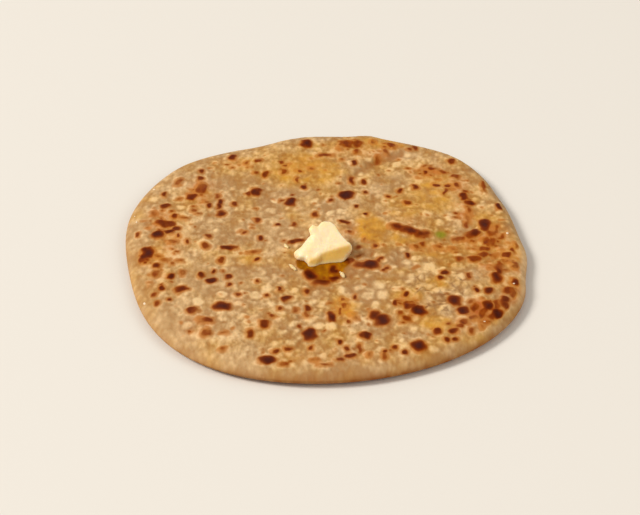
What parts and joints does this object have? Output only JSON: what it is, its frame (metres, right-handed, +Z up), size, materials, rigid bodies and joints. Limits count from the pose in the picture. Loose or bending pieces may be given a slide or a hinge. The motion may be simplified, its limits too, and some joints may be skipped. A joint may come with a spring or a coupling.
{
  "type": "stuffed paratha flatbread",
  "caption": "Round griddle flatbread with stuffing lumps, a soft rounded rim and a knob of butter melting in the middle of its top.",
  "frame": {"origin": "middle of the bread's outline, at its underside", "axes": "+Z up through the thickness; +X to the right and -Y to the front of the bread as it is served"},
  "size_m": [0.1904, 0.1948, 0.02],
  "materials": {
    "griddled_dough": "soft wholemeal dough, griddled brown in spots and brushed with butter, semi-gloss",
    "butter": "soft pale butter, waxy, melting at its foot"
  },
  "bodies": {
    "root": {"paratha": "griddled_dough", "butter": "butter"}
  },
  "joints": []
}
